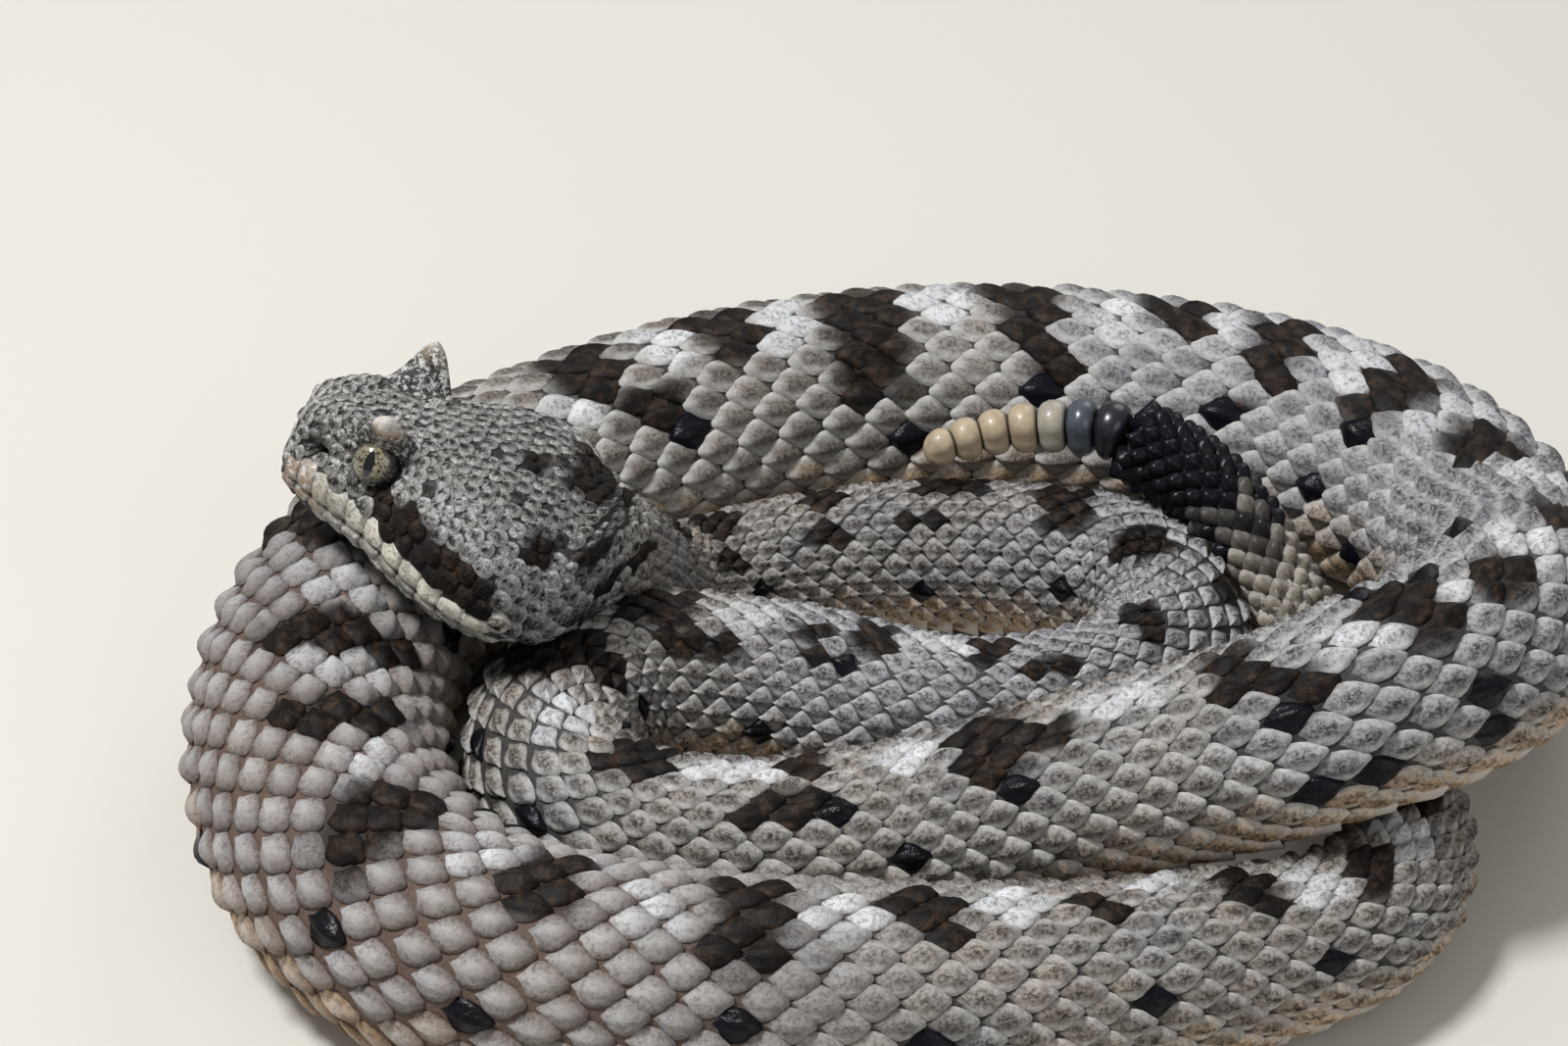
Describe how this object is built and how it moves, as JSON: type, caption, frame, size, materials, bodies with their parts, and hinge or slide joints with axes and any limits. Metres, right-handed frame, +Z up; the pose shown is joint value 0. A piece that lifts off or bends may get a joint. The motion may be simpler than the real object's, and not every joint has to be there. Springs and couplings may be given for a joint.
{
  "type": "coiled sidewinder rattlesnake model",
  "caption": "Horned sidewinder rattlesnake lying in a flat coil, head raised on its own outer loop, tail hooked up over the middle with the rattle out; a still life-size model.",
  "frame": {"origin": "middle of the coil's footprint, on the floor the belly rests on", "axes": "+Z up, +X towards the wide bend opposite the head, +Y towards the back of the coil; the head points to -X"},
  "size_m": [0.1136, 0.0896, 0.0327],
  "materials": {
    "scaled_skin": "dull keeled scales, grey-tan with dark brown blotches and whitish gaps",
    "dark_tail_skin": "satin black beaded scales",
    "eye": "glossy speckled grey-gold with a dark upright pupil",
    "horn": "dull speckled scale",
    "rattle": "smooth dry cream-tan horn",
    "rattle_base": "smooth dark blue-grey horn"
  },
  "bodies": {
    "root": {"head": "scaled_skin", "lower_jaw": "scaled_skin", "neck": "scaled_skin", "trunk_1": "scaled_skin", "trunk_2": "scaled_skin", "trunk_3": "scaled_skin", "trunk_4": "scaled_skin", "trunk_5": "scaled_skin", "trunk_6": "scaled_skin", "trunk_7": "scaled_skin", "trunk_8": "scaled_skin", "trunk_9": "scaled_skin", "trunk_10": "scaled_skin", "trunk_11": "scaled_skin", "tail": "dark_tail_skin", "eye_left": "eye", "eye_right": "eye", "horn_left": "horn", "horn_right": "horn", "rattle_1": "rattle_base", "rattle_2": "rattle_base", "rattle_3": "rattle", "rattle_4": "rattle", "rattle_5": "rattle", "rattle_6": "rattle", "rattle_7": "rattle"}
  },
  "joints": []
}
